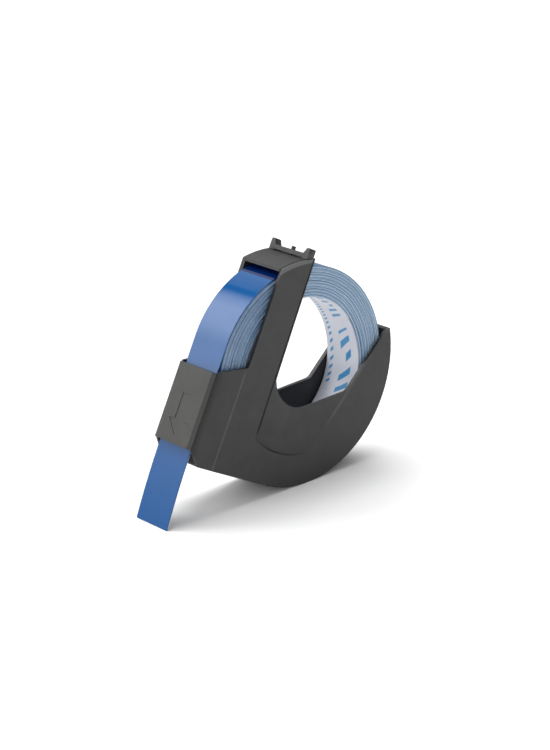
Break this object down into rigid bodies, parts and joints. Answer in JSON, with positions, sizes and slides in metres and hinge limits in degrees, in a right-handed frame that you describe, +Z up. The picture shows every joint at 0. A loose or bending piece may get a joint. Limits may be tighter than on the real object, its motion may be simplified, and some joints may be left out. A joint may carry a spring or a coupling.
{
  "type": "embossing tape cassette",
  "caption": "Cassette for a hand label maker: two-part holder with a finger hole, a coreless roll of embossing tape that unwinds, and its free end running out behind a front plate.",
  "frame": {"origin": "on the surface that the cassette stands on, under the middle of its bounding box", "axes": "+Z up as the cassette stands, +X from the free end of the tape towards the round back of the holder, Y across the tape"},
  "size_m": [0.0568, 0.0114, 0.0468],
  "materials": {
    "holder_plastic": "fine moulded texture, charcoal",
    "plate_plastic": "satin charcoal",
    "blue_vinyl": "glossy blue vinyl",
    "wound_edges": "cut edges of blue tape and pale backing, layer on layer",
    "backing_strip": "smooth pale peel-off backing"
  },
  "bodies": {
    "holder": {"cassette_tray": "holder_plastic", "side_cover": "holder_plastic", "front_guide_plate": "plate_plastic", "top_catch": "holder_plastic", "locating_peg": "holder_plastic", "tape_lead": "blue_vinyl"},
    "roll": {"tape_windings": "wound_edges", "outer_tape_turn": "blue_vinyl", "backing_liner": "backing_strip"},
    "tail": {"tape_tail": "blue_vinyl", "tail_backing": "backing_strip"}
  },
  "joints": [
    {"name": "roll_spin", "type": "hinge", "parent": "holder", "child": "roll", "pos_m": [0.00601, 0, 0.02272], "axis": [0, -1, 0], "range_deg": [0, 34]},
    {"name": "tail_feed", "type": "slide", "parent": "holder", "child": "tail", "axis": [-0.4662, 0, -0.8847], "range_m": [0, 0.0123]}
  ],
  "couplings": [
    {"joint": "tail_feed", "follows": "roll_spin", "m_per_rad": 0.02068}
  ]
}
